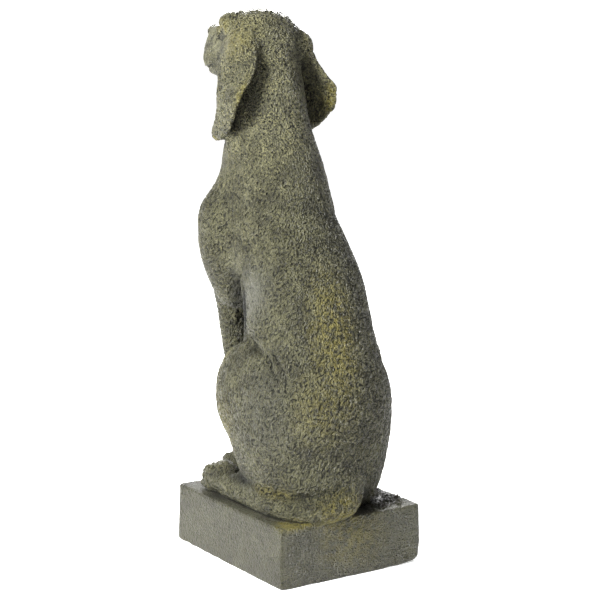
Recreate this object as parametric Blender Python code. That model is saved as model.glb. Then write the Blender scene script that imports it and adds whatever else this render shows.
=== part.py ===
"""Seated hound garden statue, cast in one piece with its plinth.

The dog faces -Y, its left side is +X and +Z is up. The origin is the centre of the plinth's underside.
The figure is drawn in parts of its own height, HEIGHT_PARTS of them from the plinth's top to the crown of
the head, so every landmark of the dog keeps its proportion when DOG_HEIGHT changes. All figure coordinates
are counted from the centre of the plinth's top. Masses are blocked in as lofts and balls, fused and
smoothed in three rounds from large to small, then the furrows are pressed into the skin.
"""

import math

import bmesh
import bpy
import numpy as np
from mathutils import Matrix, Vector, kdtree
from mathutils.bvhtree import BVHTree

# Driving dimensions, in metres
PLINTH_WIDTH = 0.228
PLINTH_LENGTH = 0.274
PLINTH_HEIGHT = 0.082
PLINTH_DRAFT = 0.002
PLINTH_EDGE_RADIUS = 0.0035
DOG_HEIGHT = 0.668

# The figure's own measure
HEIGHT_PARTS = 668
PART = DOG_HEIGHT / HEIGHT_PARTS
BOTH_SIDES = (1, -1)
LEFT = (1,)

# How fine each round of modelling is, in metres, and how often the skin is smoothed after it
BIG_MASSES = {"voxel": 8 * PART, "smoothings": 9}
LIMBS = {"voxel": 5 * PART, "smoothings": 4}
SMALL_FORMS = {"voxel": 2.8 * PART, "smoothings": 2}
LOFT_SIDES = 28
BALL_SIDES = 24
RINGS_PER_STATION = 5
TRIANGLE_BUDGET = 9400

# Torso and neck, as level sections: height, chest side, back side, half width, squareness
TRUNK = (
    (-14, -44, 102, 82, 2.4),
    (30, -46, 119, 91, 2.6),
    (47, -48, 122, 97, 2.5),
    (76, -56, 124, 105, 2.5),
    (104, -66, 128, 109, 2.5),
    (133, -66, 129, 110, 2.5),
    (161, -60, 127, 107, 2.5),
    (189, -54, 121, 99, 2.4),
    (215, -50, 114, 91, 2.3),
    (245, -48, 107, 87, 2.2),
    (275, -56, 100, 84, 2.2),
    (308, -68, 89, 82, 2.2),
    (335, -84, 74, 77, 2.2),
    (365, -112, 56, 74, 2.2),
    (400, -142, 38, 71, 2.15),
    (450, -145, 25, 63, 2.1),
    (480, -144, 13, 58, 2.0),
    (520, -132, -5, 50, 2.0),
    (560, -126, -15, 47, 2.0),
    (610, -120, -28, 42, 2.0),
)

# Muzzle and jaws, as upright sections: distance along Y, underside, top, half width, squareness
MUZZLE = (
    (-100, 576, 652, 42, 2.3),
    (-130, 574, 651, 37, 2.6),
    (-154, 573, 647, 34, 3.0),
    (-178, 577, 646, 33, 3.2),
    (-196, 588, 644, 31, 3.0),
)

# Balls of the big masses: centre, radii, mirrored or not
THIGH = ((61, -10, 145), (48, 71, 78))
KNEE = ((66, -34, 172), (32, 34, 42))
SHOULDER = ((52, -98, 378), (40, 42, 46))
CHEST = ((0, -84, 374), (52, 61, 90))
CRANIUM = ((0, -86, 620), (49, 63, 50.5))
CHEEK = ((22, -100, 600), (26, 36, 30))
FOREHEAD = ((0, -107, 644), (44, 37, 23.5))
BRISKET = ((0, -62, 285), (46, 44, 66))

# Limbs as routes of points with a side radius and a fore-and-aft radius
SHOULDER_BLADE = (
    ((52, -97, 380), 34, 38),
    ((45, -78, 428), 26, 35),
    ((35, -58, 470), 17, 27),
)
UPPER_ARM = (
    ((52, -97, 400), 34, 38),
    ((58, -90, 350), 37, 42),
    ((58, -84, 312), 31, 36),
    ((57, -78, 284), 23, 28),
    ((55, -78, 258), 14, 17),
)
ELBOW = ((58, -62, 292), (12, 14, 18))
FOREARM = (
    ((52, -94, 320), 26, 28),
    ((50, -96, 290), 22, 24),
    ((45, -98, 250), 19, 18),
    ((40, -98, 200), 17, 16),
    ((30, -94, 120), 15, 15),
    ((26, -93, 84), 16, 16),
    ((25, -96, 52), 16, 16),
    ((25, -102, 26), 17, 17),
)
HIND_FOOT = (
    ((76, 54, 26), 20, 22),
    ((80, 20, 18), 18, 18),
    ((82, -24, 16), 16, 17),
    ((84, -56, 15), 17, 17),
)
TAIL = (
    ((-14, 98, 66), 16, 16),
    ((-12, 112, 46), 18, 18),
    ((-3, 121, 26), 18.5, 18.5),
    ((12, 126, 14), 18.5, 18.5),
    ((44, 123, 9), 17.5, 17.5),
    ((68, 107, 9.5), 17, 17),
    ((82, 64, 11), 16.5, 16.5),
    ((82, 14, 12), 17, 17),
    ((86, -28, 12), 15, 15),
    ((90, -44, 10), 12, 12),
)

TAIL_BED = (
    ((80, 18, 40), 10, 26),
    ((75, 56, 40), 15, 28),
    ((64, 79, 40), 17, 28),
    ((49, 94, 40), 17, 28),
    ((26, 102, 42), 15, 28),
    ((6, 105, 46), 11, 26),
)
BEHIND_EAR = (
    ((44, -82, 600), 12, 14),
    ((50, -86, 565), 11, 14),
    ((52, -90, 530), 10, 13),
    ((54, -98, 506), 8, 12),
)
JAW = (
    ((0, -182, 578), 17, 7),
    ((0, -152, 571), 24, 10),
    ((0, -112, 572), 33, 18),
)

# Ears, from root to tip: front edge, rear edge, half thickness. The right one stands off the neck more
LEFT_EAR = (
    ((36, -78, 640), (36, -48, 640), 9),
    ((48, -94, 620), (45, -34, 618), 9),
    ((56, -104, 596), (48, -20, 596), 8),
    ((60, -107, 574), (60, -16, 572), 6.5),
    ((62, -106, 556), (72, -18, 556), 5.5),
    ((62, -105, 538), (79, -24, 536), 5.5),
    ((62, -108, 520), (75, -39, 518), 5.5),
    ((63, -117, 502), (68, -63, 499), 5.5),
    ((63, -120, 492), (64, -87, 489), 5),
    ((63, -110, 485), (64, -97, 485), 3),
)
RIGHT_EAR = (
    ((36, -78, 640), (36, -52, 640), 9),
    ((48, -94, 620), (44, -42, 618), 9),
    ((56, -104, 596), (51, -32, 596), 7.5),
    ((60, -107, 574), (67, -24, 572), 6),
    ((62, -106, 556), (80, -23, 556), 5.5),
    ((62, -105, 538), (81, -26, 536), 5.5),
    ((62, -108, 520), (75, -39, 518), 5.5),
    ((63, -117, 502), (68, -63, 499), 5.5),
    ((63, -120, 492), (64, -87, 489), 5),
    ((63, -110, 485), (64, -97, 485), 3),
)
EAR_ROOT = ((43, -55, 616), (14, 24, 20))
RIGHT_EAR_FLARE = 7

# Paws: middle of the paw, half width, half length, height, number of toes
FOREPAW = {"middle": (25, -108), "half_width": 20, "half_length": 24, "height": 45}
HINDPAW = {"middle": (79, -69), "half_width": 20, "half_length": 26, "height": 45}
TOES = 4
TOE_RADII = (6.2, 16)
TOE_ARCH = 0.3
TOE_LINE = {"reach": 2.6, "depth": 4}
TOE_LINE_RUNS_BACK = 16

# Face
NOSE = ((0, -200, 633), (19.5, 11, 11.5))
NOSE_BRIDGE = ((0, -188, 634), (20, 15, 11.5))
FLEWS = ((21, -170, 596), (18, 28, 24))
UPPER_LIP = ((13, -193, 607), (16, 13, 21))
CHIN = ((0, -184, 581), (17, 14, 10))
BROW = ((30, -117, 646), (16, 19, 16))
EYE = ((31, -140, 633), (8.5, 8.5, 7.5))

# Furrows pressed into the skin, each along a route laid onto it: points, reach and depth
BEHIND_SHOULDER = {"route": ((73, -18, 335), (70, -8, 354), (63, 8, 373), (54, 18, 392)), "reach": 13, "depth": 5}
BEHIND_ARM = {"route": ((71, -12, 348), (73, -24, 322), (69, -38, 300), (62, -44, 278)), "reach": 6, "depth": 7}
ARM_MUSCLE = {"route": ((78, -58, 378), (85, -65, 360), (86, -66, 345), (82, -64, 328)), "reach": 8, "depth": 3.5}
ABOVE_THIGH = {
    "route": ((60, -58, 205), (76, -26, 224), (88, 16, 227), (90, 45, 217), (87, 68, 206), (87, 80, 188)),
    "reach": 6,
    "depth": 6.5,
}
FLANK_HOLLOW = {"route": ((84, 2, 230), (89, 32, 222)), "reach": 13, "depth": 7}
SKIN_FOLD = {
    "route": ((84, 62, 224), (82, 75, 211), (80, 86, 198), (79, 94, 185), (80, 98, 170)),
    "reach": 4.5,
    "depth": 4,
}
MOUTH = {"route": ((12, -204, 589), (26, -196, 582), (38, -176, 579), (42, -150, 584)), "reach": 3.5, "depth": 4}
LIP_PARTING = {"route": ((0, -212, 622), (0, -208, 608), (0, -203, 594)), "reach": 3, "depth": 4}
EYE_HOLLOW = {"route": ((29, -147, 636), (37, -140, 632), (41, -130, 632)), "reach": 8, "depth": 5}
ABOVE_TAIL = {
    "route": ((88, -10, 36), (93, 32, 35), (91, 62, 31), (80, 89, 30), (60, 108, 29), (35, 116, 31), (14, 120, 42)),
    "reach": 5,
    "depth": 3.5,
}
SKIN_FURROWS = (BEHIND_SHOULDER, BEHIND_ARM, ARM_MUSCLE, ABOVE_THIGH, FLANK_HOLLOW, SKIN_FOLD, MOUTH)


def cleared_scene():
    """Empties the startup scene."""
    for found in list(bpy.data.objects):
        bpy.data.objects.remove(found)


def smooth_through(stations, samples):
    """Rows of numbers on a smooth curve through the stations' rows, by Catmull-Rom interpolation."""
    rows = np.array(stations, float)
    padded = np.vstack([2 * rows[0] - rows[1], rows, 2 * rows[-1] - rows[-2]])
    found = []
    for i in range(len(rows) - 1):
        a, b, c, d = padded[i : i + 4]
        for t in np.arange(samples) / samples:
            found.append(
                0.5 * (2 * b + (c - a) * t + (2 * a - 5 * b + 4 * c - d) * t**2 + (3 * b - a - 3 * c + d) * t**3)
            )
    found.append(rows[-1])
    return np.array(found)


def superellipse(angle, power):
    """A point of the unit superellipse at an angle."""
    c, s = math.cos(angle), math.sin(angle)
    return (
        math.copysign(abs(c) ** (2 / power), c),
        math.copysign(abs(s) ** (2 / power), s),
    )


def add_loft(bm, rings):
    """Skins a row of rings, each (centre, side vector, second vector, squareness), and caps both ends."""
    loops = []
    for centre, side, second, power in rings:
        made = bmesh.ops.create_circle(bm, cap_ends=False, radius=1, segments=LOFT_SIDES)["verts"]
        for i, vertex in enumerate(made):
            across, along = superellipse(2 * math.pi * i / LOFT_SIDES, power)
            vertex.co = centre + side * across + second * along
        edges = {edge for vertex in made for edge in vertex.link_edges}
        loops.append(list(edges))
    for first, following in zip(loops, loops[1:]):
        bmesh.ops.bridge_loops(bm, edges=first + following)
    for end in (loops[0], loops[-1]):
        bmesh.ops.holes_fill(bm, edges=end, sides=LOFT_SIDES)


def add_trunk(bm):
    """Torso and neck as level sections."""
    rings = []
    for height, front, back, half_width, power in smooth_through(TRUNK, RINGS_PER_STATION):
        centre = Vector((0, (front + back) / 2, height))
        rings.append((centre, Vector((half_width, 0, 0)), Vector((0, (back - front) / 2, 0)), power))
    add_loft(bm, rings)


def add_muzzle(bm):
    """Muzzle and jaws as upright sections."""
    rings = []
    for along, underside, top, half_width, power in smooth_through(MUZZLE, RINGS_PER_STATION):
        centre = Vector((0, along, (underside + top) / 2))
        rings.append((centre, Vector((half_width, 0, 0)), Vector((0, 0, (top - underside) / 2)), power))
    add_loft(bm, rings)


def add_limb(bm, route, side):
    """A round limb along a route, on one side of the body."""
    stations = [(*point, side_radius, fore_radius) for point, side_radius, fore_radius in route]
    rows = smooth_through(stations, RINGS_PER_STATION)
    centres = [Vector((side * x, y, z)) for x, y, z, _, _ in rows]
    rings = []
    for i, centre in enumerate(centres):
        ahead = centres[min(i + 1, len(centres) - 1)]
        behind = centres[max(i - 1, 0)]
        run = (ahead - behind).normalized()
        across = Vector((0, 1, 0)).cross(run) if abs(run.y) < 0.8 else Vector((0, 0, 1)).cross(run)
        across.normalize()
        second = run.cross(across)
        rings.append((centre, across * rows[i][3], second * rows[i][4], 2))
    add_loft(bm, rings)


def add_ear(bm, side):
    """A hanging ear: a thick curved leaf from its root to its tip."""
    outline = LEFT_EAR if side > 0 else RIGHT_EAR
    stations = [(*front, *rear, thickness) for front, rear, thickness in outline]
    rings = []
    flares = np.sin(np.linspace(0, math.pi, RINGS_PER_STATION * (len(outline) - 1) + 1))
    for row, flare in zip(smooth_through(stations, RINGS_PER_STATION), flares):
        front = Vector((side * row[0], row[1], row[2]))
        rear = Vector((side * row[3], row[4], row[5]))
        if side < 0:
            rear.x -= RIGHT_EAR_FLARE * flare
        half = (rear - front) / 2
        outward = half.cross(Vector((0, 0, 1))).normalized()
        rings.append(((front + rear) / 2, half, outward * row[6], 2))
    add_loft(bm, rings)


def add_ball(bm, centre, radii, side=1):
    """An ellipsoid on one side of the body."""
    place = Matrix.Translation((side * centre[0], centre[1], centre[2])) @ Matrix.Diagonal((*radii, 1))
    bmesh.ops.create_uvsphere(bm, u_segments=BALL_SIDES, v_segments=BALL_SIDES // 2, radius=1, matrix=place)


def add_paw(bm, paw, side):
    """A paw: a low pad with a row of arched toes at its front."""
    x, y = paw["middle"]
    height = paw["height"]
    add_ball(bm, (x, y + 6, height * 0.42), (paw["half_width"], paw["half_length"], height * 0.56), side)
    spread = 2 * paw["half_width"] / TOES
    for toe in range(TOES):
        across = (toe - (TOES - 1) / 2) * spread
        reach = paw["half_length"] - TOE_ARCH * abs(across)
        toe_y = y - reach + TOE_RADII[1] * 0.7
        add_ball(bm, (x + across, toe_y, height * 0.4), (*TOE_RADII, height * 0.44), side)


def melted(carrier):
    """The mesh that an object's modifiers make; the object is removed."""
    graph = bpy.context.evaluated_depsgraph_get()
    result = bpy.data.meshes.new_from_object(carrier.evaluated_get(graph))
    bpy.data.objects.remove(carrier)
    return result


def fused(name, builders, start, voxel, smoothings):
    """Builds the masses onto a starting mesh, melts them into one skin and smooths it."""
    bm = bmesh.new()
    for build, sides in builders:
        for side in sides:
            build(bm, side)
    bmesh.ops.recalc_face_normals(bm, faces=bm.faces)
    bmesh.ops.scale(bm, vec=(PART, PART, PART), verts=bm.verts)
    if start is not None:
        bm.from_mesh(start)
    mesh = bpy.data.meshes.new(name)
    bm.to_mesh(mesh)
    bm.free()
    carrier = bpy.data.objects.new(name, mesh)
    bpy.context.scene.collection.objects.link(carrier)
    melt = carrier.modifiers.new("melt", "REMESH")
    melt.mode = "VOXEL"
    melt.voxel_size = voxel
    soften = carrier.modifiers.new("soften", "SMOOTH")
    soften.factor = 0.5
    soften.iterations = smoothings
    return melted(carrier)


def without_pockets(mesh):
    """Drops the closed pockets that stay inside where forms overlap, keeping the outer skin."""
    skin = bmesh.new()
    skin.from_mesh(mesh)
    left = set(skin.verts)
    islands = []
    while left:
        island = {left.pop()}
        edge_of_search = list(island)
        while edge_of_search:
            vertex = edge_of_search.pop()
            fresh = {edge.other_vert(vertex) for edge in vertex.link_edges} & left
            left -= fresh
            island |= fresh
            edge_of_search.extend(fresh)
        islands.append(island)
    islands.sort(key=len)
    inner = [vertex for island in islands[:-1] for vertex in island]
    bmesh.ops.delete(skin, geom=inner, context="VERTS")
    skin.to_mesh(mesh)
    skin.free()


def pressed(mesh, furrow, side):
    """Presses one furrow into the skin."""
    skin = bmesh.new()
    skin.from_mesh(mesh)
    skin.normal_update()
    tree = BVHTree.FromBMesh(skin)
    rows = smooth_through(furrow["route"], RINGS_PER_STATION)
    route = [tree.find_nearest(Vector((side * x, y, z)) * PART)[0] for x, y, z in rows]
    line = kdtree.KDTree(len(route))
    for i, point in enumerate(route):
        line.insert(point, i)
    line.balance()
    reach = furrow["reach"] * PART
    depth = furrow["depth"] * PART
    for vertex in skin.verts:
        away, i, distance = line.find(vertex.co)
        if distance < 2.5 * reach:
            fade = math.sin(math.pi * (i + 1) / (len(route) + 1)) ** 0.5
            vertex.co -= vertex.normal * depth * fade * math.exp(-((distance / reach) ** 2))
    skin.to_mesh(mesh)
    skin.free()


def toe_lines(paw):
    """The furrows between a paw's toes."""
    x, y = paw["middle"]
    height = paw["height"]
    spread = 2 * paw["half_width"] / TOES
    lines = []
    for gap in range(1, TOES):
        across = x + (gap - TOES / 2) * spread
        front = y - paw["half_length"] - 2
        lines.append(
            {
                "route": (
                    (across, front, 5),
                    (across, front + 3, height * 0.5),
                    (across, front + TOE_LINE_RUNS_BACK, height * 0.9),
                ),
                **TOE_LINE,
            }
        )
    return lines


def on_middle(add):
    """Wraps a builder that has no side."""
    return lambda bm, side: add(bm)


def ball(form):
    """A builder of one ellipsoid."""
    return lambda bm, side: add_ball(bm, *form, side)


def limb(route):
    """A builder of one limb."""
    return lambda bm, side: add_limb(bm, route, side)


def paw(form):
    """A builder of one paw."""
    return lambda bm, side: add_paw(bm, form, side)


def modelled_dog():
    """The dog's skin, from the big masses to the small forms."""
    big = [(on_middle(add_trunk), LEFT), (on_middle(add_muzzle), LEFT), (ball(CRANIUM), LEFT)]
    big += [(ball(form), LEFT) for form in (CHEST, BRISKET, FOREHEAD)]
    big += [(ball(form), BOTH_SIDES) for form in (THIGH, KNEE, SHOULDER, CHEEK)]
    big += [(limb(route), BOTH_SIDES) for route in (SHOULDER_BLADE, UPPER_ARM)]
    big += [(limb(TAIL_BED), LEFT)]
    limbs = [(limb(route), BOTH_SIDES) for route in (FOREARM, HIND_FOOT)]
    limbs += [(limb(route), LEFT) for route in (TAIL, JAW)]
    limbs += [(add_ear, BOTH_SIDES), (limb(BEHIND_EAR), BOTH_SIDES)]
    limbs += [(ball(form), BOTH_SIDES) for form in (EAR_ROOT, ELBOW, BROW, FLEWS, UPPER_LIP)]
    limbs += [(ball(form), LEFT) for form in (CHIN, NOSE_BRIDGE)]
    small = [(paw(form), BOTH_SIDES) for form in (FOREPAW, HINDPAW)]
    small += [(ball(NOSE), LEFT), (ball(EYE), BOTH_SIDES)]
    skin = fused("big_masses", big, None, **BIG_MASSES)
    skin = fused("limbs", limbs, skin, **LIMBS)
    for side in BOTH_SIDES:
        pressed(skin, EYE_HOLLOW, side)
    skin = fused("small_forms", small, skin, **SMALL_FORMS)
    without_pockets(skin)
    for furrow in (*SKIN_FURROWS, *toe_lines(FOREPAW), *toe_lines(HINDPAW)):
        for side in BOTH_SIDES:
            pressed(skin, furrow, side)
    for furrow in (ABOVE_TAIL, LIP_PARTING):
        pressed(skin, furrow, 1)
    return skin


def made_plinth():
    """The plinth: a block with a mould's draft and eased upright and top edges."""
    bm = bmesh.new()
    bmesh.ops.create_cube(bm, size=1)
    for vertex in bm.verts:
        inset = PLINTH_DRAFT if vertex.co.z > 0 else 0
        vertex.co.x = math.copysign(PLINTH_WIDTH / 2 - inset, vertex.co.x)
        vertex.co.y = math.copysign(PLINTH_LENGTH / 2 - inset, vertex.co.y)
        vertex.co.z = PLINTH_HEIGHT if vertex.co.z > 0 else 0
    eased = [edge for edge in bm.edges if max(v.co.z for v in edge.verts) > 0]
    bmesh.ops.bevel(
        bm, geom=eased, offset=PLINTH_EDGE_RADIUS, segments=2, profile=0.5, affect="EDGES", material=-1
    )
    mesh = bpy.data.meshes.new("plinth_block")
    bm.to_mesh(mesh)
    bm.free()
    block = bpy.data.objects.new("plinth_block", mesh)
    bpy.context.scene.collection.objects.link(block)
    block.hide_render = True
    block.display_type = "WIRE"
    return block


def stone():
    """Weathered grey-green cast stone."""
    material = bpy.data.materials.new("weathered_cast_stone")
    material.use_nodes = True
    shader = material.node_tree.nodes["Principled BSDF"]
    shader.inputs["Base Color"].default_value = (0.15, 0.15, 0.105, 1)
    shader.inputs["Roughness"].default_value = 0.8
    shader.inputs["Metallic"].default_value = 0.0
    return material


def main():
    cleared_scene()
    skin = modelled_dog()
    skin.transform(Matrix.Translation((0, 0, PLINTH_HEIGHT)))
    skin.shade_smooth()
    skin.materials.append(stone())
    skin.calc_loop_triangles()
    raw = bpy.data.objects.new("raw_casting", skin)
    bpy.context.scene.collection.objects.link(raw)
    thin = raw.modifiers.new("thin_the_mesh", "DECIMATE")
    thin.ratio = TRIANGLE_BUDGET / len(skin.loop_triangles)
    join = raw.modifiers.new("cast_with_plinth", "BOOLEAN")
    join.operation = "UNION"
    join.solver = "EXACT"
    join.object = made_plinth()
    casting = melted(raw)
    without_pockets(casting)
    statue = bpy.data.objects.new("hound_and_plinth_casting", casting)
    bpy.context.scene.collection.objects.link(statue)


main()
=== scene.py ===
"""The looks of the seated hound garden statue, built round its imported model.

One piece carries them: the casting, in weathered cast stone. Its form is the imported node's own. The small
forms of the face and feet are melted onto it, creases are pressed along routes laid on its skin, and the
tooled coat of short strokes and pits is raised all over. Figure coordinates are parts of the dog's height,
counted from the middle of the plinth's top: the dog faces -Y, its left side is +X and its crown is 668 up.
"""

import math

import bmesh
import bpy
import numpy as np
from bpy.props import FloatProperty, FloatVectorProperty, IntProperty, PointerProperty
from bpy.types import Operator, Panel, PropertyGroup
from mathutils import Euler, Matrix, Vector, noise
from mathutils.bvhtree import BVHTree


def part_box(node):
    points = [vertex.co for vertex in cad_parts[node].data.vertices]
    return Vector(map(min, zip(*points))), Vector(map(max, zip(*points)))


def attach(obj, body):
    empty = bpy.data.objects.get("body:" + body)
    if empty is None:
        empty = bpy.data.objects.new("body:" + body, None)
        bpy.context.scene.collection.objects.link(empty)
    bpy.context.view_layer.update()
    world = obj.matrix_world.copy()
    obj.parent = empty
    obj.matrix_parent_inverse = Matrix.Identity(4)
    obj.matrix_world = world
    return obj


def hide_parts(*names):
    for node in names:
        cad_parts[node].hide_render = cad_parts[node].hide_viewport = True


bl_info = {
    "name": "Seated hound garden statue",
    "version": (1, 0, 0),
    "blender": (4, 5, 0),
    "location": "3D View > Sidebar > Garden statue",
    "description": "The cast-stone hound on its plinth, and a pale studio to see it in",
    "category": "Object",
}

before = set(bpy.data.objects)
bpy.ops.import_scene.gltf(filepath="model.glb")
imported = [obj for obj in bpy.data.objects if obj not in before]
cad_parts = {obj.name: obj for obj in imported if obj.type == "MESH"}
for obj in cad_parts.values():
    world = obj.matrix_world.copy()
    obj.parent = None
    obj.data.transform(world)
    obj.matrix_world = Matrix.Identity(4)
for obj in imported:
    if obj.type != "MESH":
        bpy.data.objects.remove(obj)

# The casting's measure: its top from the imported model, the plinth's sizes given
CASTING = "hound_and_plinth_casting"
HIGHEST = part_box(CASTING)[1]
PLINTH_HEIGHT = 0.082
PLINTH_WIDTH = 0.228
PLINTH_LENGTH = 0.274
PLINTH_MIDDLE = 0.0
FIGURE_PARTS = 668
PART = (HIGHEST.z - PLINTH_HEIGHT) / FIGURE_PARTS
MM = 0.001
BOTH = (1, -1)
LEFT = (1,)

# The coat's strokes lean up and to the right for someone behind the dog's left shoulder
STROKE_TURN = Euler((math.radians(-16), math.radians(-26), 0))

# The eyes, melted on as balls
EYE = (31, -142, 634)
EYEBALL = (9, 9, 8)

# The eyelids: half width and half height of the rim or crease, its reach, and its depth
EYELID_LINES = ((12.5, 7.8, 2.0, -2.6), (9.5, 5.4, 1.4, 2.4))

# Broad swellings and, with a height below nought, hollows: centre, radii, height, sides
SWELLS = (
    ((38, -122, 644), (24, 24, 22), 2.4, BOTH),
    ((8, -78, 668), (50, 46, 22), -2.2, LEFT),
    ((60, -58, 268), (16, 16, 30), 4.0, BOTH),
)

# Grooves and, with a depth below nought, ridges: route on the skin, reach, depth, sides
CREASES = (
    # The hip's folds, by turns groove and ridge
    (((88, 51, 220), (88, 60, 213), (87, 68, 206), (88, 74, 196)), 2.4, 3.2, BOTH),
    (((84, 57, 222), (84, 66, 214), (84, 74, 206), (84, 81, 197)), 2.0, -2.6, BOTH),
    (
        ((83, 67, 219), (82, 75, 211), (81, 81, 204), (79, 89, 196), (79, 93, 187), (80, 96, 172)),
        2.4, 3.6, BOTH,
    ),
    (((78, 74, 218), (76, 84, 207), (75, 91, 197), (75, 96, 186)), 2.0, -2.6, BOTH),
    (((70, 93, 208), (71, 97, 197)), 2.2, 1.6, BOTH),
    # The mouth, the parting of the upper lip, the nostrils and the nose's rim
    (((12, -205, 589), (26, -196, 582), (38, -176, 579), (44, -150, 585)), 1.8, 2.6, BOTH),
    (((0, -213, 623), (0, -208, 608), (0, -203, 592)), 1.6, 2.2, LEFT),
    (((4, -211, 634), (8, -210, 636), (12, -206, 633), (12, -206, 629)), 2.0, 3.0, BOTH),
    (((12, -200, 644), (17, -199, 636), (17, -200, 627), (11, -206, 621), (4, -210, 620)), 1.6, 1.4, BOTH),
    # The crease at the ear's root and the shoulder's hollow
    (((45, -36, 617), (40, -42, 598), (39, -45, 578)), 3.0, 2.4, BOTH),
    (((71, -14, 345), (70, -8, 354), (66, 2, 364), (62, 10, 373)), 6, 2.0, BOTH),
    # The dark crack between the arm and the flank
    (((74, -20, 318), (77, -12, 296), (78, -6, 266), (77, -4, 246), (74, -8, 226)), 4.5, 3.4, BOTH),
    # Wrinkles on the muzzle's side
    (((29, -182, 628), (25, -185, 635), (22, -182, 639)), 2.0, 2.0, BOTH),
    (((32, -171, 622), (30, -166, 631), (27, -165, 636)), 2.0, 2.2, BOTH),
    (((33, -158, 617), (32, -154, 625), (38, -140, 626)), 2.0, 2.2, BOTH),
    # The brow's fold, the ridge over it and the short fold above
    (
        ((20, -104, 665), (25, -103, 662), (34, -98, 655), (40, -95, 646), (43, -104, 635), (41, -117, 627)),
        2.2, 2.0, BOTH,
    ),
    (((22, -109, 664), (33, -104, 657), (41, -102, 648), (43, -111, 638)), 1.8, -1.4, BOTH),
    (((31, -107, 660), (39, -106, 654), (42, -109, 649)), 1.8, 1.6, BOTH),
    # The split in the left hind paw's side
    (((98, -55, 21), (98, -53, 12), (97, -52, 4)), 2.2, 2.4, LEFT),
    # The ridge along the tail's underside
    (((106, 67, 3), (99, 99, 2), (85, 124, 2), (59, 133, 2)), 1.8, -1.8, LEFT),
    # The crease at the right ear's root
    (((-22, -34, 630), (-23, -33, 614), (-32, -40, 594)), 2.6, 2.4, LEFT),
    # Lone pits
    (((16, 140, 25), (16, 140, 22)), 2.2, 3.0, LEFT),
    (((35, 140, 20), (37, 140, 18)), 2.0, 2.6, LEFT),
    (((-19, 127, 151), (-19, 127, 148)), 1.8, 2.0, LEFT),
    (((75, 107, 166), (77, 106, 160), (78, 104, 155)), 2.2, 2.6, BOTH),
)

# The paws: middle, half width, half length, sides; each has four toes with a claw
PAWS = (((25, -108), 20, 24, BOTH), ((79, -69), 20, 26, BOTH))
TOES = 4
CLAW = (2.4, 5, 4.4)
CLAW_HEIGHT = 8

# The whisker pits on each side of the upper lip
WHISKER_ROWS = 3
WHISKERS_IN_ROW = 4

# Rubble of dirt and moss that was cast in with the stone: route, reach, height, sides
RUBBLE = (
    # The crease along the tail's top
    (((93, 32, 37), (90, 62, 35), (82, 86, 33), (62, 107, 31), (35, 114, 30), (17, 119, 41)), 6, 3.0, LEFT),
    # Behind the left hind paw
    (((78, -60, 44), (76, -49, 40), (84, -38, 34), (91, -3, 33), (90, 11, 37)), 7, 3.0, LEFT),
    # The back of the arm, down to the elbow
    (((68, -47, 304), (64, -55, 277), (49, -79, 252), (44, -82, 230)), 9, 4.4, BOTH),
    # The shoulder's point
    (((79, -60, 370), (84, -65, 361), (86, -66, 350)), 6, 1.2, BOTH),
    # The recess over the knee
    (((80, 7, 219), (85, 25, 214), (88, 40, 211)), 6, 2.2, BOTH),
    # The plinth's top, on the dog's right
    (((-50, 100, 8), (-62, 108, 0), (-84, 104, 0), (-103, 96, 0)), 16, 5.0, LEFT),
    (((-96, 20, 0), (-94, 50, 0), (-92, 80, 0)), 16, 4.0, LEFT),
    (((-88, 118, 0), (-64, 121, 0), (-40, 124, 0)), 9, 3.6, LEFT),
    # The ear's rear edge
    (((48, -20, 596), (60, -16, 572), (72, -18, 556), (79, -24, 536), (84, -34, 512)), 4, 1.2, BOTH),
)

# Where the coat is nearly smooth, as balls: centre, radii, strength where it is not one, sides
SMOOTH_PLACES = (
    ((78, 18, 292), (34, 40, 52), BOTH),
    ((0, -160, 622), (90, 95, 75), 1.25, LEFT),
    ((60, -40, 322), (40, 34, 40), BOTH),
)

# Where the stone is greyer, as balls: centre, radii, sides
GREY_PLACES = (
    ((74, 18, 290), (44, 50, 66), BOTH),
    ((84, 70, 150), (50, 50, 90), BOTH),
    ((44, 10, 540), (40, 60, 80), BOTH),
)

# Where yellow ochre was washed on, as balls: centre, radii, strength, sides
STAINED_PLACES = (
    ((10, 112, 240), (46, 60, 160), 1.0, LEFT),
    ((88, -52, 190), (26, 22, 44), 1.0, BOTH),
    ((56, -120, 640), (26, 40, 26), 0.8, BOTH),
    ((56, -70, 630), (40, 50, 40), 0.7, BOTH),
    ((20, 138, 6), (50, 30, 40), 1.0, LEFT),
    ((66, -112, 488), (18, 26, 14), 1.2, BOTH),
    ((72, -22, 548), (18, 14, 60), 1.0, BOTH),
    ((-80, -30, 540), (14, 30, 50), 1.0, LEFT),
    ((100, -20, 110), (20, 40, 60), 0.7, LEFT),
    ((34, 120, 150), (60, 40, 70), 0.6, LEFT),
    ((84, 76, 34), (30, 50, 12), 0.9, LEFT),
    ((84, 122, 0), (40, 26, 8), 1.4, LEFT),
    ((0, 140, -30), (70, 20, 50), 0.6, LEFT),
)

# Where shade is painted into recesses and creases, as balls: centre, radii, strength, sides
PAINTED_SHADE_PLACES = (
    ((-34, 114, 16), (20, 18, 34), 1.2, LEFT),
    ((88, 4, 36), (20, 60, 16), 1.3, BOTH),
    ((84, 84, 36), (24, 44, 12), 0.6, LEFT),
    ((99, -46, -2), (14, 30, 12), 1.0, LEFT),
    ((60, -46, 280), (26, 34, 70), 1.0, BOTH),
    ((77, -10, 266), (11, 16, 60), 1.6, BOTH),
    ((48, -44, 560), (26, 16, 60), 0.9, BOTH),
    ((84, 30, 216), (14, 30, 12), 0.7, BOTH),
    ((-24, -40, 600), (12, 24, 44), 0.8, LEFT),
)

# The coat's strokes give way to round pits between these heights, over the shoulders
STROKES_FADE = 410
STROKES_END = 500

# The coat: the share of it that the plinth keeps, and the share that the smooth places lose
PLINTH_COAT = 0.3
SMOOTH_LOSS = 0.7

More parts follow.
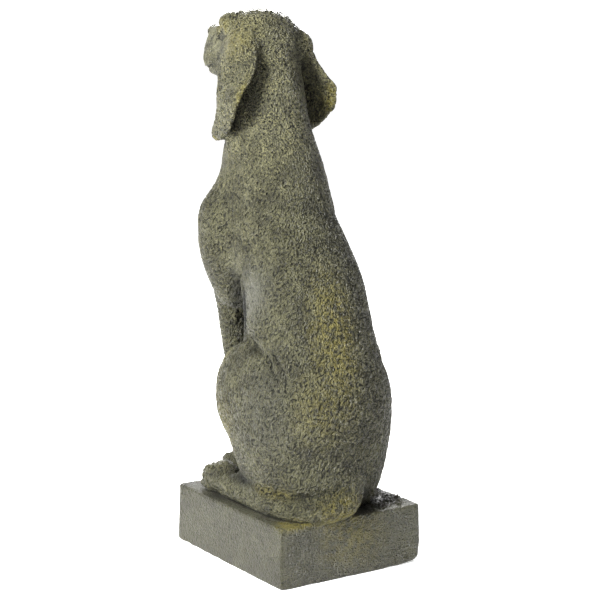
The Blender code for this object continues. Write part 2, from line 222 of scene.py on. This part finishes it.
# The casting's slight unevenness: how wide and how high its swells are
SWELL_WIDTH = 14 * MM
SWELL_HEIGHT = 0.7 * MM

# The plinth's wear: the least radius of its edges, what noise adds, and what the worst corner adds
LEAST_WEAR = 2.4 * MM
UNEVEN_WEAR = 5 * MM
UNEVEN_WEAR_WIDTH = 18 * MM
CORNER_WEAR = 9 * MM
CORNER_WEAR_REACH = 55 * MM

# How wide the stone's patches, rubbed areas and blotches of wash are, and how far apart its deeper pits lie
PATCH_WIDTH = 30 * MM
RUBBED_WIDTH = 22 * MM
WASH_WIDTH = 7 * MM
PITS_APART = 15 * MM


def linear(code):
    """The linear colour of an sRGB hex code."""
    shares = [int(code[i : i + 2], 16) / 255 for i in (1, 3, 5)]
    return tuple(s / 12.92 if s <= 0.04045 else ((s + 0.055) / 1.055) ** 2.4 for s in shares)


def colour(name, description, code):
    """A colour property."""
    return FloatVectorProperty(
        name=name, description=description, subtype="COLOR", size=3, min=0, max=1, default=linear(code)
    )


def length(name, description, millimetres):
    """A length property."""
    return FloatProperty(name=name, description=description, unit="LENGTH", min=0, default=millimetres * MM)


def brightness(name, description, share):
    """A brightness property, where one is white."""
    return FloatProperty(name=name, description=description, min=0, default=share)


def power(name, description, watts):
    """A light's power property."""
    return FloatProperty(name=name, description=description, unit="POWER", min=0, default=watts)


class CarvingSettings(PropertyGroup):
    """Sizes of the tooled coat."""

    grain: length("Grain", "Size of the finest form that the skin is melted and carved at", 1.3)
    stroke_spacing: length("Stroke spacing", "Distance between the coat's short strokes", 4.0)
    stroke_depth: length("Stroke depth", "Height of the strokes over their hollows", 1.7)
    triangles: IntProperty(name="Triangles", description="How many the finished piece has", default=196000)


class PatinaSettings(PropertyGroup):
    """Colours of the weathered cast stone."""

    body: colour("Body", "Grey-olive of the stone's body", "#4a4937")
    shade: colour("Shade", "Darker olive of its duller patches", "#343326")
    grey: colour("Grey", "Cooler grey of its cleaner patches", "#3e3e35")
    worn: colour("Worn", "Tan of crests that hands and rain have rubbed", "#7f7c5a")
    stain: colour("Stain", "Yellow ochre washed onto ridges and edges", "#665f2e")
    # The darkest colour: dirt in the pits, and painted shade in creases and recesses
    soil_and_shade: colour("Hollow", "Dark green-brown dirt in pits and creases", "#0f100a")


class StudioSettings(PropertyGroup):
    """The floor and lights."""

    floor: colour("Floor", "The pale floor", "#fdfdfc")
    floor_glow: brightness("Floor glow", "Brightness that the floor's lit glass adds", 0.62)
    wall_strength: brightness("White wall", "Brightness of the wall behind the statue", 1.15)
    room_strength: brightness("Room", "Brightness of the rest of the room", 0.38)
    key_power: power("Key light", "Power of the large side light", 240)
    rim_power: power("Rim light", "Power of the light behind the statue", 55)


def ramp(values, low, high):
    """Values from nought at low to one at high, smoothly."""
    share = np.clip((values - low) / (high - low), 0, 1)
    return share * share * (3 - 2 * share)


def figure(x, y, z, side=1):
    """A figure coordinate as a place in metres."""
    return Vector((side * x * PART, y * PART, PLINTH_HEIGHT + z * PART))


def smooth_through(stations, samples=6):
    """Rows of numbers on a smooth curve through the stations' rows, by Catmull-Rom interpolation."""
    rows = np.array(stations, float)
    padded = np.vstack([2 * rows[0] - rows[1], rows, 2 * rows[-1] - rows[-2]])
    found = []
    for i in range(len(rows) - 1):
        a, b, c, d = padded[i : i + 4]
        for t in np.arange(samples) / samples:
            curve = (2 * a - 5 * b + 4 * c - d) * t**2 + (3 * b - a - 3 * c + d) * t**3
            found.append(0.5 * (2 * b + (c - a) * t + curve))
    found.append(rows[-1])
    return np.array(found)


def add_ball(bm, centre, radii, side):
    """An ellipsoid on one side of the figure."""
    size = Matrix.Diagonal((*(radius * PART for radius in radii), 1))
    place = Matrix.Translation(figure(*centre, side)) @ size
    bmesh.ops.create_uvsphere(bm, u_segments=28, v_segments=16, radius=1, matrix=place)


def evaluated(mesh, *modifiers):
    """The mesh that a row of modifiers, each (type, settings), makes of another."""
    carrier = bpy.data.objects.new("carrier", mesh)
    bpy.context.scene.collection.objects.link(carrier)
    for kind, settings in modifiers:
        modifier = carrier.modifiers.new(kind.lower(), kind)
        for key, value in settings.items():
            setattr(modifier, key, value)
    graph = bpy.context.evaluated_depsgraph_get()
    made = bpy.data.meshes.new_from_object(carrier.evaluated_get(graph))
    bpy.data.objects.remove(carrier)
    return made


class Skin:
    """A mesh's surface as arrays, for sculpting moves."""

    def __init__(self, mesh):
        self.mesh = mesh
        self.points = np.empty((len(mesh.vertices), 3), np.float32)
        mesh.vertices.foreach_get("co", self.points.ravel())
        self.edges = np.empty((len(mesh.edges), 2), np.int32)
        mesh.edges.foreach_get("vertices", self.edges.ravel())
        self.refresh()

    def refresh(self):
        """Brings the mesh and the normals up to date with the points."""
        self.mesh.vertices.foreach_set("co", self.points.ravel())
        self.mesh.update()
        self.normals = np.empty_like(self.points)
        self.mesh.vertex_normals.foreach_get("vector", self.normals.ravel())
        self.tree = None

    def lay(self, route, side):
        """The places on the skin nearest to a smooth route, and which way the skin faces there."""
        if self.tree is None:
            bm = bmesh.new()
            bm.from_mesh(self.mesh)
            self.tree = BVHTree.FromBMesh(bm)
            bm.free()
        found = [self.tree.find_nearest(figure(*row, side)) for row in smooth_through(route)]
        return np.array([place for place, *_ in found]), np.array([facing for _, facing, *_ in found])

    def spread(self, values, rounds):
        """Values at the points, averaged with their neighbours for some rounds."""
        count = len(self.points)
        near = np.bincount(self.edges.ravel(), minlength=count)
        start, end = self.edges.T
        for _ in range(rounds):
            total = np.bincount(start, values[end], count) + np.bincount(end, values[start], count)
            values = (values + total / near) / 2
        return values

    def relax(self, rounds, weight):
        """Smooths the points without shrinking the form, by turns inwards and outwards."""
        for turn in range(2 * rounds):
            step = 1.0 if turn % 2 == 0 else -1.04
            for axis in range(3):
                line = self.points[:, axis].astype(float)
                line += step * weight * (self.spread(line, 1) - line)
                self.points[:, axis] = line
        self.refresh()

    def press(self, route, reach, depth, side):
        """Presses one groove, or raises one ridge, along a route laid onto the skin."""
        spots, facings = self.lay(route, side)
        reach = reach * PART
        margin = 2.6 * reach
        near = np.all(
            (self.points > spots.min(0) - margin) & (self.points < spots.max(0) + margin), axis=1
        ).nonzero()[0]
        away = np.linalg.norm(self.points[near, None, :] - spots[None, :, :], axis=2)
        nearest = away.argmin(1)
        away = away.min(1)
        facing = np.clip((self.normals[near] * facings[nearest]).sum(1), 0, 1)
        fade = np.sin(math.pi * (nearest + 1) / (len(spots) + 1)) ** 0.5
        amount = depth * PART * fade * facing * np.exp(-((away / reach) ** 2))
        self.points[near] -= self.normals[near] * amount[:, None]


def closeness(points, places):
    """How near each point is to the middle of a ball-shaped place: its strength there, and nought outside."""
    found = np.zeros(len(points))
    for centre, radii, *strength, sides in places:
        for side in sides:
            away = (points - np.array(figure(*centre, side))) / (np.array(radii) * PART)
            share = np.clip(1.3 * (1 - np.linalg.norm(away, axis=1)), 0, 1)
            found = np.maximum(found, share * (strength[0] if strength else 1))
    return found


def noise_at(points, cell, turn=STROKE_TURN, seed=0):
    """Gradient noise at the points, in cells of three sizes in metres along turned axes."""
    turned = (points @ np.array(turn.to_matrix())) / np.array(cell) + seed
    return np.array([noise.noise(row) for row in turned.tolist()])


def above_plinth(points):
    """Nought on the plinth and one on the figure."""
    return ramp(points[:, 2], PLINTH_HEIGHT + 1 * MM, PLINTH_HEIGHT + 6 * MM)


def coarseness(points):
    """One where the coat is worked in strokes, nought where it is pitted: the head, neck and plinth."""
    height = (points[:, 2] - PLINTH_HEIGHT) / PART
    return above_plinth(points) * (1 - ramp(height, STROKES_FADE, STROKES_END))


def raise_coat(skin, carving):
    """Raises the tooled coat over the whole figure and the grain of the plinth's faces."""
    points = skin.points
    coat = PLINTH_COAT + (1 - PLINTH_COAT) * above_plinth(points)
    calm = 1 - SMOOTH_LOSS * closeness(points, SMOOTH_PLACES)
    coarse = coarseness(points)
    width = carving.stroke_spacing
    strokes = np.abs(noise_at(points, (width, width, 2 * width)))
    strokes = np.clip(strokes / 0.28, 0, 1) ** 0.8
    pitting = noise_at(points, (0.75 * width,) * 3, seed=31)
    pitting = 0.5 - np.clip((-pitting - 0.02) / 0.3, 0, 1)
    height = coarse * strokes + 0.7 * (1 - coarse) * pitting
    swells = noise_at(points, (SWELL_WIDTH,) * 3, seed=7)
    height = coat * (calm * carving.stroke_depth * height + SWELL_HEIGHT * swells)
    lifted = ramp(points[:, 2], 0.2 * MM, 3 * MM)
    skin.points += skin.normals * (height * lifted)[:, None]
    skin.refresh()


def swell(skin):
    """Makes the broad swellings and hollows."""
    for centre, radii, height, sides in SWELLS:
        share = closeness(skin.points, ((centre, radii, sides),))
        skin.points += skin.normals * (height * PART * share * share * (3 - 2 * share))[:, None]
    skin.refresh()


def wear_plinth(skin):
    """Rounds the plinth's edges by as much as they are worn, the low rear corner on the dog's right most."""
    half = np.array((PLINTH_WIDTH, PLINTH_LENGTH, PLINTH_HEIGHT)) / 2
    middle = np.array((0.0, PLINTH_MIDDLE, PLINTH_HEIGHT / 2))
    away = skin.points - middle
    corner = np.linalg.norm(skin.points - (middle + half * (-1, 1, -1)), axis=1)
    wear = LEAST_WEAR + UNEVEN_WEAR * np.abs(noise_at(skin.points, (UNEVEN_WEAR_WIDTH,) * 3, seed=3))
    wear = (wear + CORNER_WEAR * (1 - ramp(corner, 0, CORNER_WEAR_REACH)))[:, None]
    over = np.maximum(np.abs(away) - (half - wear), 0)
    reach = np.maximum(np.linalg.norm(over, axis=1), 1e-6)[:, None]
    worn = np.minimum(np.abs(away), half - wear) + over * np.minimum(1, wear / reach)
    on_plinth = np.all(np.abs(away) < half + 0.4 * MM, axis=1)
    on_plinth &= skin.points[:, 2] < PLINTH_HEIGHT - 0.3 * MM
    skin.points[on_plinth] = (middle + np.sign(away) * worn)[on_plinth]
    skin.refresh()


def eyelids():
    """The rim of each eye's lids and the crease round it, as grooves and ridges."""
    outward = Vector((0.72, -0.66, 0.2)).normalized()
    along = Vector((0.62, 0.76, -0.16))
    along = (along - outward * along.dot(outward)).normalized()
    up = outward.cross(along)
    if up.z < 0:
        up = -up
    middle = Vector(EYE) + 7 * outward
    rims = []
    for width, height, reach, depth in EYELID_LINES:
        for turn in (1, -1):
            arc = [math.pi * step / 6 for step in range(7)]
            rim = [middle - along * width * math.cos(a) + up * turn * height * math.sin(a) for a in arc]
            rims.append((tuple(tuple(spot) for spot in rim), reach, depth, BOTH))
    return rims


def raise_rubble(skin):
    """Roughens the places where rubble was cast in."""
    for route, reach, height, sides in RUBBLE:
        for side in sides:
            line = np.array([figure(*row, side) for row in smooth_through(route)])
            width = reach * PART
            low = line.min(0) - 2 * width
            high = line.max(0) + 2 * width
            near = np.all((skin.points > low) & (skin.points < high), axis=1).nonzero()[0]
            spots = skin.points[near]
            away = np.linalg.norm(spots[:, None, :] - line[None, :, :], axis=2).min(1)
            bumps = noise_at(spots, (3.2 * MM,) * 3, seed=11) + 0.6 * noise_at(spots, (7 * MM,) * 3, seed=5)
            amount = height * PART * bumps * np.exp(-((away / width) ** 2))
            skin.points[near] += skin.normals[near] * amount[:, None]
    skin.refresh()


def claws():
    """The claws at the front of every toe, as balls."""
    found = []
    for (x, y), half_width, half_length, sides in PAWS:
        for toe in range(TOES):
            across = (toe - (TOES - 1) / 2) * 2 * half_width / TOES
            front = y - half_length + 0.3 * abs(across) - 4
            found.append(((x + across, front, CLAW_HEIGHT), CLAW, sides))
    return found


def whisker_pits():
    """Rows of small pits on each side of the upper lip, as short grooves."""
    found = []
    for row in range(WHISKER_ROWS):
        for step in range(WHISKERS_IN_ROW):
            spot = (22 + 4 * step, -196 + 9 * step - 2 * row, 613 - 6 * row - 1.5 * step)
            found.append(((spot, (spot[0], spot[1], spot[2] - 0.5)), 1.2, 1.8, BOTH))
    return found


def melted_form(grain):
    """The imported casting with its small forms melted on, as a skin fine enough to carve."""
    bm = bmesh.new()
    bm.from_mesh(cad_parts[CASTING].data)
    bmesh.ops.remove_doubles(bm, verts=bm.verts, dist=0.01 * MM)
    for centre, radii, sides in ((EYE, EYEBALL, BOTH), *claws()):
        for side in sides:
            add_ball(bm, centre, radii, side)
    mesh = bpy.data.meshes.new("rough_form")
    bm.to_mesh(mesh)
    bm.free()
    return Skin(evaluated(mesh, ("REMESH", {"mode": "VOXEL", "voxel_size": grain})))


def make_casting(carving):
    """The finished casting."""
    skin = melted_form(carving.grain)
    skin.relax(12, ramp(skin.points[:, 2], PLINTH_HEIGHT + 1 * MM, PLINTH_HEIGHT + 5 * MM))
    wear_plinth(skin)
    swell(skin)
    for route, reach, depth, sides in (*CREASES, *eyelids(), *whisker_pits()):
        for side in sides:
            skin.press(route, reach, depth, side)
    skin.refresh()
    raise_rubble(skin)
    raise_coat(skin, carving)
    thinned = evaluated(
        skin.mesh, ("DECIMATE", {"ratio": carving.triangles / (2 * len(skin.mesh.polygons))})
    )
    thinned.name = "cast_hound"
    thinned.materials.clear()
    record_surface(thinned)
    piece = bpy.data.objects.new("cast_hound", thinned)
    bpy.context.scene.collection.objects.link(piece)
    thinned.shade_smooth()
    return piece


def record_surface(mesh):
    """Keeps, at each point, what the stone's material needs, such as hollows, where ochre lies and where
    shade is painted.
    """
    skin = Skin(mesh)
    points = skin.points.astype(float)
    fine = sum(
        (skin.spread(points[:, axis], 3) - points[:, axis]) * skin.normals[:, axis] for axis in range(3)
    )
    broad = sum(
        (skin.spread(points[:, axis], 30) - points[:, axis]) * skin.normals[:, axis] for axis in range(3)
    )
    coat = PLINTH_COAT + (1 - PLINTH_COAT) * above_plinth(points)
    kept = {
        "fine_hollow": np.clip(fine / (0.3 * MM), -1, 2) * coat,
        # Broad hollows, which the material darkens as painted shade
        "broad_hollow": broad / (2.5 * MM),
        "coarseness": coarseness(points),
        "on_plinth": 1 - above_plinth(points),
        "smoothness": closeness(points, SMOOTH_PLACES),
        "ochre": closeness(points, STAINED_PLACES),
        "greyness": closeness(points, GREY_PLACES),
        # Where shade is painted into recesses
        "painted_shade": closeness(points, PAINTED_SHADE_PLACES),
    }
    for name, values in kept.items():
        layer = mesh.attributes.new(name, "FLOAT", "POINT")
        layer.data.foreach_set("value", values.astype(np.float32))


def add_node(tree, kind, settings=(), **links):
    """Adds a shader node with its settings, and links or sets inputs, by name or as i0, i1 and on."""
    node = tree.nodes.new("ShaderNode" + kind)
    for key, value in dict(settings).items():
        setattr(node, key, value)
    for key, value in links.items():
        socket = node.inputs[int(key[1:]) if key[1:].isdigit() else key.replace("_", " ")]
        if isinstance(value, bpy.types.NodeSocket):
            tree.links.new(value, socket)
        else:
            socket.default_value = value
    return node


def cast_stone(patina, carving):
    """Weathered cast stone: a dull, dark olive body, rubbed to tan on its crests, dark with soil in every pit
    and with painted shade in its creases and recesses.
    """
    material = bpy.data.materials.new("weathered_cast_stone")
    material.use_nodes = True
    tree = material.node_tree
    shader = tree.nodes["Principled BSDF"]
    place = add_node(tree, "TexCoord").outputs["Object"]

    def math_of(operation, *inputs):
        return add_node(
            tree, "Math", {"operation": operation}, **{f"i{i}": value for i, value in enumerate(inputs)}
        ).outputs[0]

    def between(value, low, high):
        return add_node(
            tree, "MapRange", {"interpolation_type": "SMOOTHSTEP"}, Value=value, From_Min=low, From_Max=high
        ).outputs[0]

    def attribute(name):
        return add_node(tree, "Attribute", {"attribute_name": name}).outputs["Fac"]

    def blotches(width, seed, detail):
        moved = add_node(
            tree, "Mapping", {"vector_type": "TEXTURE"}, Vector=place,
            Location=(seed, 0, 0), Scale=(width,) * 3,
        ).outputs[0]
        return add_node(tree, "TexNoise", Vector=moved, Scale=1.0, Detail=detail).outputs["Fac"]

    def blend(share, low, high):
        node = add_node(tree, "Mix", {"data_type": "RGBA"}, Factor=share)
        for socket, value in ((node.inputs[6], low), (node.inputs[7], high)):
            if isinstance(value, bpy.types.NodeSocket):
                tree.links.new(value, socket)
            else:
                socket.default_value = (*value, 1)
        return node.outputs[2]

    # The coat's pattern: round pits on the head, neck and plinth, leaning ones between the body's strokes.
    # The stone's own grain is too fine to show, so its crumbs are drawn half a stroke wide
    width = carving.stroke_spacing

    def pitting(size, turn):
        moved = add_node(
            tree, "Mapping", {"vector_type": "TEXTURE"}, Vector=place, Rotation=turn, Scale=size
        ).outputs[0]
        cells = add_node(tree, "TexVoronoi", Vector=moved, Scale=1.0, Randomness=0.9)
        return between(cells.outputs["Distance"], 0.1, 0.62)

    crumbs = math_of("SUBTRACT", blotches(0.5 * width, 0.7, 1.0), 0.5)
    dots = pitting((0.85 * width,) * 3, (0, 0, 0))
    strokes = pitting((0.8 * width, 0.8 * width, 1.5 * width), tuple(STROKE_TURN))
    coarse = attribute("coarseness")
    pattern = math_of("ADD", math_of("MULTIPLY", coarse, math_of("SUBTRACT", strokes, dots)), dots)
    pattern = math_of("ADD", math_of("MULTIPLY", math_of("SUBTRACT", pattern, 0.55), 0.36), crumbs)
    calm = math_of("SUBTRACT", 1.0, math_of("MULTIPLY", attribute("smoothness"), 0.65))
    pattern = math_of("MULTIPLY", pattern, calm)
    on_plinth = attribute("on_plinth")
    loud = math_of("SUBTRACT", 0.75, math_of("MULTIPLY", math_of("MAXIMUM", coarse, on_plinth), 0.4))
    crests = math_of("MULTIPLY", pattern, loud)
    hollows = math_of("SUBTRACT", crests, math_of("MULTIPLY", attribute("fine_hollow"), 0.17))

    # Rare deeper pits
    pits_at = add_node(
        tree, "Mapping", {"vector_type": "TEXTURE"}, Vector=place, Scale=(PITS_APART,) * 3
    ).outputs[0]
    pits = between(add_node(tree, "TexVoronoi", Vector=pits_at, Scale=1.0).outputs["Distance"], 0.05, 0.13)

    # The ground's patches and the wash on them, then the rubbed crests, then dirt in the pits and painted
    # shade in creases and recesses over all
    ground = blend(between(blotches(PATCH_WIDTH, 0.1, 4.0), 0.4, 0.62), patina.shade, patina.body)
    ground = blend(attribute("greyness"), ground, patina.grey)
    ground = blend(math_of("MULTIPLY", on_plinth, 0.6), ground, patina.shade)
    washed = math_of("MULTIPLY", attribute("ochre"), between(blotches(WASH_WIDTH, 0.5, 3.0), 0.3, 0.6))
    ground = blend(washed, ground, patina.stain)
    rubbed = between(crests, -0.02, 0.27)
    rubbed = math_of("MULTIPLY", rubbed, between(blotches(RUBBED_WIDTH, 0.9, 4.0), 0.1, 0.8))
    rubbed = math_of("MULTIPLY", rubbed, math_of("SUBTRACT", 1.0, math_of("MULTIPLY", on_plinth, 0.5)))
    ground = blend(rubbed, ground, patina.worn)
    # Dark in the coat's pits and fine hollows: dirt, and painted shade in them
    dirt_and_shade = math_of("SUBTRACT", 1.0, between(hollows, -0.25, 0.0))
    # Painted shade in the broad hollows
    dirt_and_shade = math_of("MAXIMUM", dirt_and_shade, between(attribute("broad_hollow"), 0.2, 1.5))
    dirt_and_shade = math_of("MAXIMUM", dirt_and_shade, math_of("SUBTRACT", 1.0, pits))
    # Painted shade in the listed recesses
    dirt_and_shade = math_of("MAXIMUM", dirt_and_shade, math_of("MULTIPLY", attribute("painted_shade"), 0.8))
    base = blend(math_of("MULTIPLY", dirt_and_shade, 0.9), ground, patina.soil_and_shade)
    tree.links.new(base, shader.inputs["Base Color"])

    # The same strokes and pits, raised finer than the mesh holds them
    raised = math_of("ADD", math_of("MULTIPLY", pattern, 4.6), pits)
    bump = add_node(tree, "Bump", Strength=1.0, Distance=1.7 * MM, Height=raised)
    tree.links.new(bump.outputs[0], shader.inputs["Normal"])
    dull = math_of("ADD", 0.35, math_of("MULTIPLY", dirt_and_shade, 0.2))
    tree.links.new(dull, shader.inputs["Roughness"])
    shader.inputs["Specular IOR Level"].default_value = 0.32
    return material


class HOUND_OT_casting(Operator):
    """Builds the hound and its plinth in weathered cast stone"""

    bl_idname = "hound.casting"
    bl_label = "Hound and plinth"

    def execute(self, context):
        scene = context.scene
        piece = make_casting(scene.hound_carving)
        piece.data.materials.append(cast_stone(scene.hound_patina, scene.hound_carving))
        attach(piece, "root")
        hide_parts(CASTING)
        return {"FINISHED"}


# The photograph's camera: place in metres, yaw and pitch in degrees, and the focal length
CAMERA_PLACE = (1.2992, 1.9734, 0.7638)
CAMERA_YAW = 33.47
CAMERA_PITCH = 9.81
CAMERA_LENS = 105.12

# Half the floor's width, and how far the camera sees, in metres
FLOOR_HALF = 300
SIGHT = 1000

# The lights: place and size in metres, and where they aim
KEY_PLACE = (2.05, 0.45, 1.85)
KEY_SIZE = (0.7, 1.0)
RIM_PLACE = (-1.2, -1.8, 1.25)
RIM_SIZE = (0.8, 0.5)
AIM = (0, 0, 0.38)

# Where the room's white wall stands, behind the statue as the photograph sees it
WALL_SIDE = (-0.55, -0.83, 0.0)


class HOUND_OT_studio(Operator):
    """Builds the pale floor, the soft lights and the camera"""

    bl_idname = "hound.studio"
    bl_label = "Studio"

    def execute(self, context):
        scene = context.scene
        studio = scene.hound_studio
        bm = bmesh.new()
        bmesh.ops.create_grid(bm, x_segments=1, y_segments=1, size=FLOOR_HALF)
        mesh = bpy.data.meshes.new("studio_floor")
        bm.to_mesh(mesh)
        bm.free()
        floor = bpy.data.objects.new("studio_floor", mesh)
        scene.collection.objects.link(floor)
        paint = bpy.data.materials.new("matt_floor_paint")
        paint.use_nodes = True
        shader = paint.node_tree.nodes["Principled BSDF"]
        shader.inputs["Base Color"].default_value = (*studio.floor, 1)
        shader.inputs["Roughness"].default_value = 0.9
        shader.inputs["Emission Color"].default_value = (*studio.floor, 1)
        shader.inputs["Emission Strength"].default_value = studio.floor_glow
        mesh.materials.append(paint)

        world = bpy.data.worlds.new("white_room")
        scene.world = world
        world.use_nodes = True
        tree = world.node_tree
        background = tree.nodes["Background"]
        background.inputs["Color"].default_value = (1, 1, 1, 1)
        sight = add_node(tree, "TexCoord").outputs["Generated"]
        to_wall = add_node(tree, "VectorMath", {"operation": "DOT_PRODUCT"}, i0=sight, i1=WALL_SIDE)
        strength = add_node(
            tree, "MapRange", {"interpolation_type": "SMOOTHSTEP"}, Value=to_wall.outputs["Value"],
            From_Min=0.5, From_Max=0.92, To_Min=studio.room_strength, To_Max=studio.wall_strength,
        )
        tree.links.new(strength.outputs[0], background.inputs["Strength"])

        lens = bpy.data.cameras.new("camera")
        camera = bpy.data.objects.new("camera", lens)
        scene.collection.objects.link(camera)
        camera.location = CAMERA_PLACE
        camera.rotation_euler = Euler((math.radians(90 - CAMERA_PITCH), 0, math.radians(180 - CAMERA_YAW)))
        lens.lens = CAMERA_LENS
        lens.sensor_width = 36
        lens.clip_end = SIGHT
        scene.camera = camera

        for name, place, size, power in (
            ("key_softbox", KEY_PLACE, KEY_SIZE, studio.key_power),
            ("rim_softbox", RIM_PLACE, RIM_SIZE, studio.rim_power),
        ):
            light = bpy.data.lights.new(name, "AREA")
            light.shape = "RECTANGLE"
            light.size, light.size_y = size
            light.energy = power
            softbox = bpy.data.objects.new(name, light)
            scene.collection.objects.link(softbox)
            softbox.location = place
            way = Vector(AIM) - softbox.location
            softbox.rotation_euler = way.to_track_quat("-Z", "Y").to_euler()
            softbox.visible_camera = False
        scene.view_settings.view_transform = "Standard"
        return {"FINISHED"}


class HOUND_PT_statue(Panel):
    """Lists the statue's settings, with the buttons that build it"""

    bl_label = "Garden statue"
    bl_idname = "HOUND_PT_statue"
    bl_space_type = "VIEW_3D"
    bl_region_type = "UI"
    bl_category = "Garden statue"

    def draw(self, context):
        layout = self.layout
        scene = context.scene
        for settings, operator in (
            (scene.hound_carving, None),
            (scene.hound_patina, "hound.casting"),
            (scene.hound_studio, "hound.studio"),
        ):
            box = layout.box()
            for name in settings.bl_rna.properties.keys():
                if name not in ("rna_type", "name"):
                    box.prop(settings, name)
            if operator:
                box.operator(operator)


CLASSES = (
    CarvingSettings,
    PatinaSettings,
    StudioSettings,
    HOUND_OT_casting,
    HOUND_OT_studio,
    HOUND_PT_statue,
)


def register():
    for made in CLASSES:
        bpy.utils.register_class(made)
    bpy.types.Scene.hound_carving = PointerProperty(type=CarvingSettings)
    bpy.types.Scene.hound_patina = PointerProperty(type=PatinaSettings)
    bpy.types.Scene.hound_studio = PointerProperty(type=StudioSettings)


def unregister():
    del bpy.types.Scene.hound_carving
    del bpy.types.Scene.hound_patina
    del bpy.types.Scene.hound_studio
    for made in reversed(CLASSES):
        bpy.utils.unregister_class(made)


def main():
    register()
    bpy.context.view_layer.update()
    bpy.ops.hound.studio()
    bpy.ops.hound.casting()


if __name__ == "__main__":
    main()
